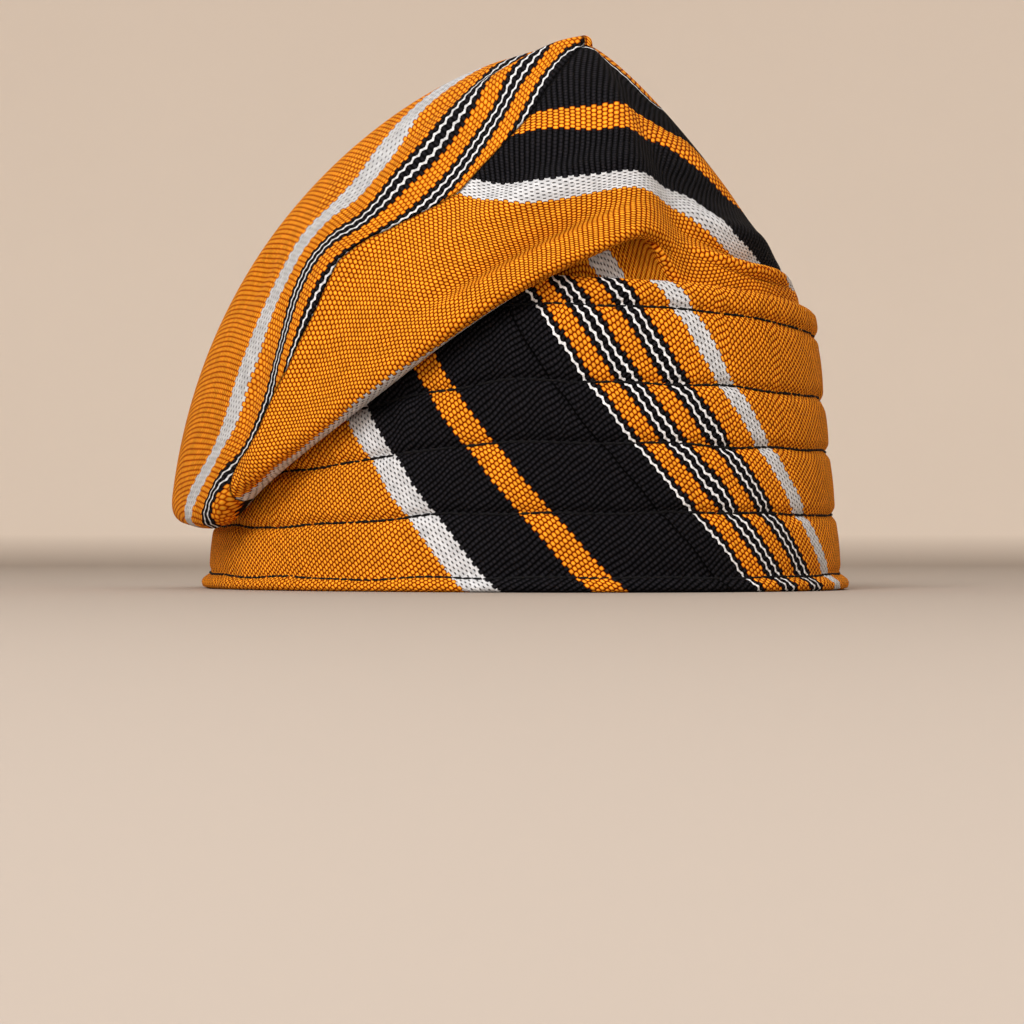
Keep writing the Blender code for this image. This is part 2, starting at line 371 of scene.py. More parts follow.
def unrolled_turn():
    """Unrolled angle, in degrees, for each column, from how wide the columns stand at 60 mm."""
    ring = np.array([
        [np.interp(-60, -reach[i], crown_grid[i, :, axis]) for axis in range(3)]
        for i in range(CROWN_COLUMNS)
    ])
    widths = np.linalg.norm(np.roll(ring, -1, axis=0) - ring, axis=1) * 1000
    return np.degrees(widths / 60)


column_turn = unrolled_turn()
cut_column = round(BACK_SEAM_ANGLE / 360 * CROWN_COLUMNS)
order = (cut_column + np.arange(CROWN_COLUMNS + 1)) % CROWN_COLUMNS
flat_turn = np.append(0, np.cumsum(column_turn[order[:-1]]))
round_trip = crown_angles[order[:-1]] - np.where(order[:-1] >= cut_column, 360, 0)
round_trip = np.append(round_trip, BACK_SEAM_ANGLE)
flat_turn -= np.interp(SEAM_ANGLE, round_trip, flat_turn)
print("the bag unrolls to", round(flat_turn[0]), "to", round(flat_turn[-1]), "degrees")


def flat(angle, distance):
    """The flat plane's point for an angle round the cap and a distance from the peak, in mm."""
    turn = np.radians(np.interp(angle, round_trip, flat_turn))
    return np.stack([distance * np.cos(turn), distance * np.sin(turn)], axis=-1)


# %% Bend the stripes through their pins
PIN_GIVE = 0.0015


def pinned(base, pins):
    """A function of flat points: base, bent so that it passes near each pin's value."""
    places = np.array([flat(angle, distance) for angle, distance, _ in pins])
    wanted = np.array([value for _, _, value in pins]) - base(places)

    def plate(gap):
        square = (gap**2).sum(axis=-1) / 1e4
        return square * np.log(square + 1e-9)

    count = len(pins)
    table = np.zeros((count + 3, count + 3))
    table[:count, :count] = plate(places[:, None] - places[None]) + PIN_GIVE * np.eye(count)
    table[:count, count:] = np.column_stack([np.ones(count), places / 100])
    table[count:, :count] = table[:count, count:].T
    weights = np.linalg.solve(table, np.append(wanted, np.zeros(3)))

    def bent(points):
        total = base(points) + weights[count] + points @ weights[count + 1 :] / 100
        for weight, place in zip(weights[:count], places):
            total = total + weight * plate(points - place)
        return total

    return bent


# %% [markdown]
# ## The stripes
#
# The cloth is warp-faced: only the lengthwise threads show, as grains 1.08 mm wide. Each stripe
# is a group of grains of one colour, so its width is a count of grains. One repeat is 200 of
# them. The band takes two repeats round the head. A line is a single white grain in black cloth.

# %% Stripes of the cloth
GRAIN = 1.08
REPEAT = 200
ORANGE, WHITE, BLACK, LINE = "orange", "white", "black", "line"
PAIR = ((1, BLACK), (1, LINE), (1, BLACK), (1, LINE), (1, BLACK))
GROUP = (
    (6, WHITE), (16, BLACK), (6, ORANGE), (25, BLACK), (1, LINE), (1, BLACK), (4, ORANGE),
    *PAIR, (4, ORANGE), *PAIR, (6, ORANGE), (5, WHITE),
)
BAND_STRIPES = (*GROUP[:-1], (4, WHITE), (117, ORANGE))
RIGHT_STRIPES = ((7, ORANGE), (6, WHITE), (42, ORANGE), *GROUP, (61, ORANGE))
LEFT_STRIPES = ((6, BLACK), *GROUP[4:], (79, ORANGE), *GROUP[:4])
for name, stripes in (("band", BAND_STRIPES), ("right", RIGHT_STRIPES), ("left", LEFT_STRIPES)):
    print(name, "stripes", len(stripes), "grains", sum(count for count, _ in stripes))

# %% [markdown]
# ## Where the stripes lie on the crown
#
# On the right face the stripes go round the front of the peak. On the left face they run from
# the peak down to the drooped corner, beside the seam. A pin is an angle round the cap and a
# distance from the peak in millimetres. Each list of pins belongs to one edge of a stripe, and
# the edge is named by its grain, counted from the broad white stripe.

# %% Pins of the right face
# RIGHT_FIRST is the face's first grain. RIGHT_SLANT is the way across its stripes, in degrees on
# the flat cloth, and RIGHT_ROWS the way its rows run, which the cap's pull has turned from it.
RIGHT_FIRST = -55
RIGHT_SLANT = 72
RIGHT_ROWS = 54
RIGHT_PINS = {
    -48: (
        (34, 169.5), (41, 165), (47, 156), (52, 148.5), (58, 140.5), (65, 131), (73.5, 121.5),
        (87, 110), (101.5, 104), (102.5, 107),
    ),
    -42: (
        (34, 163), (41, 158.5), (47, 149.5), (52, 142), (58, 134), (65, 124.5), (73.5, 115),
        (87, 103.5), (106, 102), (107, 105),
    ),
    0: (
        (53, 71), (62, 69), (70, 68.5), (76, 69.5), (89, 74.5), (96, 73.5), (102, 71.5),
        (108, 70), (114, 67.5), (119.5, 67), (123.5, 70), (131, 75.5), (139, 81), (147, 85.5),
        (156, 86), (165, 87),
    ),
    6: (
        (78, 65), (88, 67.5), (96, 68), (102, 67), (109.5, 64.5), (119.5, 60), (124.5, 61),
        (128, 65), (132, 71), (142, 77.5), (156, 80), (165, 81),
    ),
    22: (
        (79, 51), (87, 49), (94, 49), (103, 50.5), (114, 47.5), (128, 47), (134, 50.5), (142, 56),
        (154, 61),
    ),
    28: ((80.5, 46), (85.5, 43), (93, 41.5), (104, 40.5), (120, 35.5), (137, 38.5), (146, 45)),
    53: ((112, 12), (127, 20), (134, 28)),
}
RIGHT_LOOSE = ((170, 90), (190, 60), (200, 100), (215, 60), (225, 110), (232, 30))


def right_slope(points):
    """Grains counted across the right face, before the cloth is bent."""
    slant = math.radians(RIGHT_SLANT)
    return (68 - points @ np.array([math.cos(slant), math.sin(slant)])) / GRAIN


def all_pins(edges, loose, slope):
    pins = [(angle, far, grain) for grain, places in edges.items() for angle, far in places]
    return pins + [(angle, far, slope(flat(angle, far))) for angle, far in loose]


right_grains = pinned(right_slope, all_pins(RIGHT_PINS, RIGHT_LOOSE, right_slope))
print("right face: grain at 60 mm under the peak", round(float(right_grains(flat(100, 60)))))

# %% Pins of the left face
LEFT_FIRST = 47
LEFT_SLANT = -9
LEFT_PINS = {
    84: (
        (30, 65.5), (31.5, 79), (23, 92.5), (24.5, 107.5), (25, 122), (25.5, 136), (25, 149),
        (20, 162), (14.5, 173.5),
    ),
    79: (
        (35.5, 48.5), (45, 64), (43.5, 76), (34.5, 88.5), (32, 104), (32.5, 120), (32, 133.5),
        (31, 147), (25.5, 159), (19.5, 171.5),
    ),
    70.5: (
        (58, 39), (59, 54), (55, 68), (50.5, 83), (43, 88.5), (39, 97), (39.5, 107.5),
        (42.5, 120), (43.5, 130), (42.5, 142), (39.5, 149.5), (35, 155), (30.5, 159.5), (28, 163),
        (26, 168), (24.5, 173),
    ),
    61.5: (
        (70, 16), (71, 30), (74, 42), (72.5, 58), (68.5, 70), (64, 77), (57, 84.5), (52, 91.5),
        (49.5, 100), (48, 110), (47, 119.5), (46.5, 125), (48, 140), (45, 152), (40, 158),
        (37, 163), (35, 168),
    ),
    53: ((90.5, 12.5), (87, 15.5), (86, 23), (85.5, 30.5)),
}
LEFT_LOOSE = ((-30, 60), (-50, 120), (-20, 150), (-90, 60), (-90, 130), (-120, 120))


def left_slope(points):
    slant = math.radians(LEFT_SLANT)
    return 55 + points @ np.array([math.sin(slant), -math.cos(slant)]) / GRAIN


left_grains = pinned(left_slope, all_pins(LEFT_PINS, LEFT_LOOSE, left_slope))
print("left face: grain at the drooped corner", round(float(left_grains(flat(30, 160)))))

# %% The top seam's line
SEAM_LINE = (
    (99, 9), (92, 20), (88.5, 30), (87.5, 33.5), (86.5, 39), (85.5, 44), (82, 52), (79.5, 57.5),
    (76, 65.5), (74.5, 69), (70, 73), (64, 77.5), (55, 85.5), (50, 94), (49, 108), (46.5, 125),
    (42.5, 143), (40, 149), (36.5, 153), (34.3, 157.5), (33.6, 162), (34, 172), (34, 260),
)
BACK_SEAM_LENGTH = 125


def distance_to_line(points, line):
    """Shortest distance from flat points to a line of flat points, and the side they are on."""
    nearest, side = np.full(points.shape[:-1], 1e9), np.ones(points.shape[:-1])
    for start, end in zip(line, line[1:]):
        way = end - start
        share = np.clip(((points - start) @ way) / (way @ way), 0, 1)
        gap = points - start - share[..., None] * way
        distance = np.linalg.norm(gap, axis=-1)
        turn = way[0] * gap[..., 1] - way[1] * gap[..., 0]
        side = np.where(distance < nearest, np.sign(turn), side)
        nearest = np.minimum(distance, nearest)
    return nearest, side


front_seam = np.array([flat(angle, distance) for angle, distance in ((0, 0), *SEAM_LINE)])
print("top seam, corner to peak", round(walked(front_seam[:-1])[-1]), "mm")

# %% [markdown]
# ## The crown's cloth
#
# The mesh is the grid's quads and a fan at the peak, and Solidify gives it the cloth's
# thickness. Each corner of each face keeps two places on the flat cloth, one for each face of
# the bag, and its distance from the top seam. The material picks the right one. Faces keep their
# own corners, because the flat plane is cut open at the back seam.


# %% Flat places of every corner
def crown_flat_places():
    """For each column, as its own right edge and as its neighbour's left edge: flat points."""
    start_turn = np.empty(CROWN_COLUMNS)
    end_turn = np.empty(CROWN_COLUMNS)
    for step, column in enumerate(order[:-1]):
        start_turn[column] = flat_turn[step]
        end_turn[column] = flat_turn[step + 1]
    places = []
    for turn, distance in ((start_turn, reach), (end_turn, np.roll(reach, -1, axis=0))):
        angle = np.radians(turn)[:, None]
        places.append(np.stack([distance * np.cos(angle), distance * np.sin(angle)], axis=-1))
    return places


def face_values(places, grains, first, heading):
    """Grains across one face of the bag, and mm along it."""
    turn = np.radians(heading)
    along = places @ np.array([np.cos(turn), np.sin(turn)])
    return np.stack([grains(places) - first, along], axis=-1)


def cloth_values(places):
    """The attributes of flat points: right cloth, left cloth, and distance from the top seam."""
    right = face_values(places, right_grains, RIGHT_FIRST, RIGHT_ROWS + 90)
    left = face_values(places, left_grains, LEFT_FIRST, LEFT_SLANT)
    near, side = distance_to_line(places, front_seam)
    for edge in (flat_turn[0], flat_turn[-1]):
        angle = np.radians(edge)
        tip = BACK_SEAM_LENGTH * np.array([np.cos(angle), np.sin(angle)])
        back, _ = distance_to_line(places, np.array([[0, 0], tip]))
        turned = np.degrees(np.arctan2(places[..., 1], places[..., 0]))
        behind = np.abs(signed_turn(turned - edge)) < 60
        side = np.where(behind & (back < near), 1 if edge > 0 else -1, side)
        near = np.where(behind, np.minimum(back, near), near)
    return right, left, near * side


own_edge, next_edge = (cloth_values(places) for places in crown_flat_places())
right_counts = own_edge[0][..., 0]
print("grains on the right face", right_counts.min().round(), "to", right_counts.max().round())


# %% The crown's mesh
def crown_mesh():
    mesh = bpy.data.meshes.new("crown_cloth")
    rows = crown_grid.shape[1] - 1
    peak = CROWN_COLUMNS * rows
    vertices = np.vstack([crown_grid[:, :-1].reshape(-1, 3), crown_grid[0, -1]]) + BAND_MIDDLE
    faces, corners = [], []
    for i in range(CROWN_COLUMNS):
        j = (i + 1) % CROWN_COLUMNS
        for k in range(rows - 1):
            faces.append((i * rows + k, j * rows + k, j * rows + k + 1, i * rows + k + 1))
            corners += [(0, i, k), (1, i, k), (1, i, k + 1), (0, i, k + 1)]
        faces.append((i * rows + rows - 1, j * rows + rows - 1, peak))
        corners += [(0, i, rows - 1), (1, i, rows - 1), (0, i, rows)]
    mesh.from_pydata(vertices.tolist(), [], faces)
    edge, column, row = np.array(corners).T
    for index, name in enumerate(("right_cloth", "left_cloth", "seam")):
        values = np.where(
            edge.reshape(-1, *[1] * (own_edge[index].ndim - 2)) == 0,
            own_edge[index][column, row],
            next_edge[index][column, row],
        )
        kind = "FLOAT" if name == "seam" else "FLOAT2"
        mesh.attributes.new(name, kind, "CORNER")
        field = "value" if name == "seam" else "vector"
        mesh.attributes[name].data.foreach_set(field, values.astype(np.float32).ravel())
    mesh.shade_smooth()
    return mesh


def plain_object(name, mesh):
    piece = bpy.data.objects.new(name, mesh)
    bpy.context.scene.collection.objects.link(piece)
    return piece


crown = plain_object("crown_cloth", crown_mesh())
thickness = crown.modifiers.new("thickness", "SOLIDIFY")
thickness.thickness = CLOTH
thickness.offset = 0
print("crown", len(crown.data.polygons), "faces before its thickness")

# %% [markdown]
# ## The band
#
# The band is several layers of cloth quilted together. Five rows of stitching pull it in, and
# it puffs out between them. Its hem is turned up and its rim is rolled. One outline, worked out
# finely at each angle, gives all of that.

# %% The band's rows and outline
HEM_HEIGHT = 0.0055
HEM_BULGE = 0.0016
RIM_ROLL = 0.0012
GROOVE_DEPTH = 0.0011
GROOVE_WIDTH = 0.0013
PUFF = 0.0006
STITCH_ROWS = ((0.045, 0.085), (0.250, 0.310), (0.470, 0.555), (0.665, 0.715), (0.910, 0.905))
BAND_COLUMNS = 400
BAND_ROWS = 96

random = np.random.default_rng(7)


def ripple(angle, low, high):
    """A slow random wave round the cap, between about -1 and 1."""
    counts = np.arange(low, high)
    phases = random.uniform(0, 2 * np.pi, len(counts))
    waves = np.cos(np.radians(np.outer(angle, counts)) + phases)
    return waves.sum(axis=1) / math.sqrt(len(counts))


def row_height(row, angle):
    front, back = row
    forward = (1 + np.sin(np.radians(angle))) / 2
    return rim_height(angle) * (back + (front - back) * forward)


band_angles = np.arange(BAND_COLUMNS) * 360 / BAND_COLUMNS
row_waves = [0.00028 * ripple(band_angles, 3, 24) for _ in STITCH_ROWS]
row_levels = np.array([
    row_height(row, band_angles) + wave for row, wave in zip(STITCH_ROWS, row_waves)
])
pucker_waves = [ripple(band_angles, 30, 90) for _ in range(len(STITCH_ROWS) + 1)]
print("rows of stitching, front to hem", (row_levels[:, BAND_COLUMNS // 4] * 1000).round(1), "mm")


# %% One outline of the band
def outer_offset(height, column):
    """How far the band's outer face stands out at each height of one column."""
    levels = row_levels[:, column]
    rim = rim_height(band_angles[column])
    edges = np.concatenate([[0], levels, [rim]])
    cell = np.clip(np.searchsorted(edges, height) - 1, 0, len(edges) - 2)
    share = (height - edges[cell]) / (edges[cell + 1] - edges[cell])
    offset = PUFF * np.sin(np.pi * np.clip(share, 0, 1)) ** 0.7
    groove = np.abs(height[:, None] - levels).min(axis=1) / GROOVE_WIDTH
    offset -= GROOVE_DEPTH * np.exp(-(groove**2))
    pucker = np.array([wave[column] for wave in pucker_waves])[cell]
    offset += 0.00022 * pucker * np.exp(-((groove / 2.2) ** 2))
    hem = np.clip(height / HEM_HEIGHT, 0, 1)
    offset += HEM_BULGE * np.sin(np.pi * np.clip(hem * 0.75 + 0.25, 0, 1)) * (hem < 1)
    return offset


def band_outline(column):
    angle = band_angles[column]
    rim = rim_height(angle)
    height = np.linspace(0.0006, rim - RIM_ROLL, BAND_ROWS)
    face = [(out, up) for out, up in zip(outer_offset(height, column), height)]
    roll = [
        (RIM_ROLL * (math.cos(turn) - 1), rim + RIM_ROLL * (math.sin(turn) - 1))
        for turn in np.linspace(0.25, 1, 6) * math.pi / 2
    ]
    inner = [(-BAND_WALL + 0.0008, rim), (-BAND_WALL, rim - 0.001)]
    inner += [(-BAND_WALL, rim - 0.001 - (rim - 0.002) * share) for share in (0.25, 0.5, 0.75)]
    inner += [(-BAND_WALL, 0.001), (-BAND_WALL + 0.001, 0)]
    section = [(0.0, 0.0), *face, *roll, *inner]
    return [band_point(angle, up, out) + BAND_MIDDLE for out, up in section], section


# %% The band's mesh
def around_band():
    """Distance round the band at each column, in mm, measured at half its height."""
    ring = np.array([band_point(angle, BAND_HEIGHT / 2, 0) for angle in range(361)])
    way = walked(ring) * 1000
    return way[-1], np.interp(np.append(band_angles, 360), np.arange(361), way)


band_length, band_distance = around_band()
BAND_SLANT = 39.3
BAND_START = 91.6
RIM_PULL = 3.6
BAND_REPEAT = band_length * math.cos(math.radians(BAND_SLANT)) / 2
print("band", round(band_length), "mm round; one repeat", round(BAND_REPEAT, 1), "mm")


def band_cloth(distance, height):
    """Grains across and mm along the cloth, which is cut on the slant."""
    slant = math.radians(BAND_SLANT)
    across = distance * math.cos(slant) + height * 1000 * math.sin(slant) - BAND_START
    # From 32 mm up to the rim in front, the cloth is pulled round a little more and more.
    across -= RIM_PULL * min(1.2, max(0, height * 25 - 0.8)) ** 2
    along = distance * math.sin(slant) - height * 1000 * math.cos(slant)
    return across / BAND_REPEAT * REPEAT, along


def band_mesh():
    mesh = bpy.data.meshes.new("band_cloth")
    outlines = [band_outline(column) for column in range(BAND_COLUMNS)]
    count = len(outlines[0][0])
    vertices = np.array([points for points, _ in outlines]).reshape(-1, 3)
    # Cloth height runs on round the rim and down the inside, so that the stripes do too.
    rises = []
    for points, section in outlines:
        steps = np.linalg.norm(np.diff(np.array(section), axis=0), axis=1)
        rises.append(np.append(0, np.cumsum(steps)))
    faces, values = [], []
    for i in range(BAND_COLUMNS):
        j = (i + 1) % BAND_COLUMNS
        for k in range(count):
            n = (k + 1) % count
            faces.append((i * count + k, j * count + k, j * count + n, i * count + n))
            end = rises[i][k] + 0.001 if n == 0 else None
            for column, edge, row in ((i, i, k), (j, i + 1, k), (j, i + 1, n), (i, i, n)):
                rise = end if end and row == n else rises[column][row]
                values.append(band_cloth(band_distance[edge], rise))
    mesh.from_pydata(vertices.tolist(), [], faces)
    mesh.attributes.new("band_cloth", "FLOAT2", "CORNER")
    mesh.attributes["band_cloth"].data.foreach_set("vector", np.array(values, np.float32).ravel())
    mesh.shade_smooth()
    return mesh


band = plain_object("band_cloth", band_mesh())
print("band", len(band.data.polygons), "faces")

# %% [markdown]
# ## The woven cloth as a material
#
# Each lengthwise thread rides over one crosswise thread and under the next, so it shows as a row
# of oval grains, and the grains of one row lie between those of the next, like bricks. The black
# threads are packed closer, so there the rows run together into ribs across the stripe. In the
# white stripes only small dark dashes show between the grains. A single white grain among black
# ones swings from side to side with the rows, which makes the thin zigzag lines.
#
# An image could show that, but it would blur close up. Here Math nodes count rows and grains
# from the cloth's own coordinates, and make the colour and the relief from the counts, with
# painted shade in the gaps and painted highlights on the grains. A colour ramp with constant
# steps holds the stripes, one stop for each.

# %% A small helper for node trees
class Wiring:
    """Adds nodes to a tree. A value is a number, a colour or another node's socket."""

    def __init__(self, tree):
        self.tree = tree

    def node(self, kind, *values, **settings):
        node = self.tree.nodes.new(kind)
        for name, value in settings.items():
            setattr(node, name, value)
        for socket, value in zip(node.inputs, values):
            self.feed(socket, value)
        return node

    def feed(self, socket, value):
        if isinstance(value, bpy.types.NodeSocket):
            self.tree.links.new(value, socket)
        elif value is not None:
            socket.default_value = value

    def fill(self, node, **inputs):
        """Feeds a node's inputs by name. An underscore stands for a space."""
        for name, value in inputs.items():
            self.feed(node.inputs[name.replace("_", " ")], value)
        return node

    def math(self, operation, *values):
        return self.node("ShaderNodeMath", *values, operation=operation).outputs[0]

    def clamped(self, operation, *values):
        node = self.node("ShaderNodeMath", *values, operation=operation)
        node.use_clamp = True
        return node.outputs[0]

    def mix(self, share, a, b, kind="RGBA", blend="MIX"):
        node = self.tree.nodes.new("ShaderNodeMix")
        node.data_type = kind
        if kind == "RGBA":
            node.blend_type = blend
        inputs = {"RGBA": (6, 7), "VECTOR": (4, 5), "FLOAT": (2, 3)}[kind]
        for index, value in zip((0, *inputs), (share, a, b)):
            self.feed(node.inputs[index], value)
        return node.outputs[{"RGBA": 2, "VECTOR": 1, "FLOAT": 0}[kind]]

    def attribute(self, name):
        return self.node("ShaderNodeAttribute", attribute_name=name).outputs


# %% Colours of the threads
# For each kind: the colour of a grain, and a number that tells the material which kind it is.
THREAD_KINDS = {
    ORANGE: ((0.90, 0.205, 0.001), 0.6),
    WHITE: ((0.65, 0.66, 0.68), 0.9),
    BLACK: ((0.009, 0.0085, 0.0105), 0.0),
    LINE: ((0.009, 0.0085, 0.0105), 0.3),
}
RAMP_STEPS = 255


def stripe_ramp(wiring, place, stripes):
    """Looks a counted grain up among the stripes: its colour, and its kind's number."""
    ramp = wiring.node("ShaderNodeValToRGB", wiring.math("DIVIDE", place, RAMP_STEPS))
    steps = ramp.color_ramp
    steps.interpolation = "CONSTANT"
    start = 0
    for index, (count, kind) in enumerate(stripes):
        place = max(0, (start - 0.5) / RAMP_STEPS)
        if index < 2:
            step = steps.elements[index]
            step.position = place
        else:
            step = steps.elements.new(place)
        step.color = (*THREAD_KINDS[kind][0], THREAD_KINDS[kind][1])
        start += count
    return ramp.outputs["Color"], ramp.outputs["Alpha"]


# %% The woven material
ROW = 1.38
WANDER = 0.06
RELIEF = 0.00042
GAP_SHADE_TINT = (0.28, 0.26, 0.26, 1)
GRAIN_HIGHLIGHT_COLOUR = (1.0, 0.47, 0.035, 1)
LIT_LINE_WHITE = (0.86, 0.87, 0.89, 1)
LEFT_EVENNESS = 0.3
LEFT_RELIEF = 0.3
LEFT_FACE_SHADE = 0.85


def woven(name, faces, seam=None, join=None):
    """Cloth from one or two (attribute, stripes) faces, which meet where seam is 0.

    join is where two strips are sewn edge to edge, as a count of grains.
    """
    material = bpy.data.materials.new(name)
    material.use_nodes = True
    wiring = Wiring(material.node_tree)
    math_node, clamped = wiring.math, wiring.clamped
    plus, minus, times, divide, power = (
        partial(math_node, kind) for kind in ("ADD", "SUBTRACT", "MULTIPLY", "DIVIDE", "POWER")
    )
    scaled, absolute, floor, fract = (
        partial(math_node, kind) for kind in ("MULTIPLY_ADD", "ABSOLUTE", "FLOOR", "FRACT")
    )
    shader = material.node_tree.nodes["Principled BSDF"]
    place = wiring.attribute(faces[0][0])["Vector"]
    side = 1
    if seam:
        seam_distance = wiring.attribute(seam)["Fac"]
        side = math_node("GREATER_THAN", seam_distance, 0)
        place = wiring.mix(side, wiring.attribute(faces[1][0])["Vector"], place, "VECTOR")

    def looked_up(count):
        count = plus(count, 0.5)
        if len(faces) == 1:
            count = math_node("FLOORED_MODULO", count, REPEAT)
        colour, kind = stripe_ramp(wiring, count, faces[0][1])
        if seam:
            other, other_kind = stripe_ramp(wiring, count, faces[1][1])
            colour = wiring.mix(side, other, colour)
            kind = wiring.mix(side, other_kind, kind, "FLOAT")
        return colour, kind

    def smooth(value, low, high):
        node = wiring.node("ShaderNodeMapRange", value, interpolation_type="SMOOTHSTEP")
        return wiring.fill(node, From_Min=low, From_Max=high).outputs[0]

    # Hand-beaten cloth is never quite even, so both counts wander a little.
    wander = wiring.node("ShaderNodeTexNoise", place, noise_dimensions="2D")
    wiring.fill(wander, Scale=WANDER, Detail=0)
    drift = wiring.node("ShaderNodeSeparateColor", wander.outputs["Color"]).outputs
    parts = wiring.node("ShaderNodeSeparateXYZ", place).outputs
    across = plus(parts["X"], scaled(drift[0], 0.6, -0.3))
    along = plus(parts["Y"], scaled(drift[1], 1.4, -0.7))
    if join:
        joined = parts["X"]
        if len(faces) == 1:
            joined = math_node("FLOORED_MODULO", joined, REPEAT)
        past = minus(joined, join)
        beyond = math_node("GREATER_THAN", past, 0)
        along = plus(along, times(beyond, 0.55 * ROW))

    # Count rows and grains. Every other row is shifted by half a grain.
    rows = divide(along, ROW)
    row = floor(rows)
    up = absolute(minus(times(fract(rows), 2), 1))
    shift = times(math_node("FLOORED_MODULO", row, 2), 0.5)
    counted = plus(across, shift)
    count = floor(counted)
    out = times(fract(counted), 2)
    out = absolute(minus(out, 1))
    colour, kind = looked_up(count)
    black = math_node("LESS_THAN", kind, 0.45)
    white = math_node("GREATER_THAN", kind, 0.8)

    # Relief of the three kinds, from 0 in the gaps to 1 on top of a grain.
    oval = minus(1, power(out, 2.3))
    oval = clamped("SUBTRACT", oval, power(up, 2.8))
    oval = power(oval, 0.7)
    rib = minus(1, power(up, 1.8))
    rib = times(rib, scaled(power(out, 3.0), -0.55, 1))
    dash = times(smooth(out, 0.55, 0.9), minus(1, smooth(up, 0.25, 0.8)))
    plain = scaled(power(up, 3), -0.22, 1)
    plain = clamped("SUBTRACT", plain, dash)
    height = wiring.mix(black, oval, rib, "FLOAT")
    height = wiring.mix(white, height, plain, "FLOAT")

    # Grains differ a little in tone, and so do threads.
    key = wiring.node("ShaderNodeCombineXYZ", count, row).outputs[0]
    chance = wiring.node("ShaderNodeTexWhiteNoise", key, noise_dimensions="2D").outputs["Value"]
    streak = wiring.node("ShaderNodeTexWhiteNoise", noise_dimensions="1D")
    wiring.fill(streak, W=floor(across))
    tone_and_shade = scaled(chance, 0.26, 0.87)
    tone_and_shade = plus(tone_and_shade, scaled(streak.outputs["Value"], 0.10, -0.05))
    patches = wiring.node("ShaderNodeTexNoise", wiring.node("ShaderNodeTexCoord").outputs["Object"])
    wiring.fill(patches, Scale=38, Detail=3)
    tone_and_shade = plus(tone_and_shade, scaled(patches.outputs["Fac"], 0.30, -0.15))
    # Grain tops are painted lighter and gaps darker here, as painted light and shade.
    tone_and_shade = times(tone_and_shade, scaled(height, 0.25, 0.80))

    def darkened(colour, shade):
        grey = wiring.node("ShaderNodeCombineColor", shade, shade, shade).outputs[0]
        return wiring.mix(1.0, colour, grey, blend="MULTIPLY")

    # The gaps between grains are painted shade: the grain's colour, multiplied by itself and by a
    # grey tint, darker and deeper.
    gap = wiring.mix(1.0, colour, colour, blend="MULTIPLY")
    gap = wiring.mix(1.0, gap, GAP_SHADE_TINT, blend="MULTIPLY")
    solid = smooth(height, 0.03, 0.68)
    # Black ribs get a painted highlight on top and painted shade between them.
    black_rib_light_and_shade = scaled(power(height, 2), 1.5, 0.4)
    # Orange grains get a painted highlight, golden on top of each grain.
    light = wiring.node("ShaderNodeSeparateColor", colour).outputs
    grain_highlight_share = minus(light["Red"], light["Blue"])
    grain_highlight_share = times(grain_highlight_share, power(height, 3))
    top = wiring.mix(grain_highlight_share, colour, GRAIN_HIGHLIGHT_COLOUR)
    if seam:
        # On the left face the gaps get less painted shade and the relief is flatter, and the whole
        # face is painted a little darker as painted shade.
        evenness = scaled(side, -LEFT_EVENNESS, LEFT_EVENNESS)
        solid = math_node("MAXIMUM", solid, evenness)
        height = times(height, scaled(side, 1 - LEFT_RELIEF, LEFT_RELIEF))
        tone_and_shade = times(tone_and_shade, scaled(side, 1 - LEFT_FACE_SHADE, LEFT_FACE_SHADE))
    colour = wiring.mix(solid, gap, top)
    colour = darkened(colour, wiring.mix(black, 1.0, black_rib_light_and_shade, "FLOAT"))

    # The thin white lines, which swing half a grain between one row and the next.
    swing = divide(math_node("PINGPONG", plus(along, ROW / 2), ROW), 2 * ROW)
    unswung = plus(minus(across, swing), 0.5)
    nearest = floor(unswung)
    aside = absolute(minus(fract(unswung), 0.5))
    _, line_kind = looked_up(nearest)
    on_line = math_node("COMPARE", line_kind, 0.3, 0.1)
    aside = plus(aside, times(power(up, 4), 0.07))
    bead = minus(1, smooth(aside, 0.24, 0.36))
    bead = times(bead, on_line)
    # The thin lines' beads are painted a brighter white than the white stripes, as painted light.
    colour = wiring.mix(bead, colour, LIT_LINE_WHITE)
    height = wiring.mix(bead, height, scaled(up, -0.25, 1.1), "FLOAT")

    # The random tone and the painted light and shade of the grains go into the colour here.
    colour = darkened(colour, tone_and_shade)
    # Along the top seam and the strip join the cloth sinks into a groove, and its colour is
    # darkened there as painted shade.
    for distance, half_width in ((seam and seam_distance, 0.7), (join and past, 0.28)):
        if not distance:
            continue
        groove = divide(absolute(distance), half_width)
        groove = clamped("SUBTRACT", 1, groove)
        height = minus(height, times(groove, 2.2))
        colour = darkened(colour, scaled(groove, -0.8, 1))
    bumps = wiring.node("ShaderNodeBump")
    wiring.fill(bumps, Strength=1.0, Distance=RELIEF, Height=height)
    wiring.fill(shader, Normal=bumps.outputs[0], Base_Color=colour)
    wiring.fill(shader, Roughness=0.8, Specular_IOR_Level=0.04)
    return material


crown.data.materials.append(
    woven(
        "crown_strip_cloth",
        (("right_cloth", RIGHT_STRIPES), ("left_cloth", LEFT_STRIPES)),
        seam="seam",
    )
)
STRIP_JOIN = 46.9
band.data.materials.append(
    woven("band_strip_cloth", (("band_cloth", BAND_STRIPES),), join=STRIP_JOIN)
)
print("materials", [material.name for material in bpy.data.materials][-2:])

# %% [markdown]
# ## Rows of stitching
#
# Black thread holds the band's layers together in five rows. Each row is one path with the same
# stitch over and over, which is what Geometry Nodes are for: the path is measured off in stitch
# lengths, one small stitch is placed at each point and turned along the path, and all of them
# are turned into plain mesh at the end.


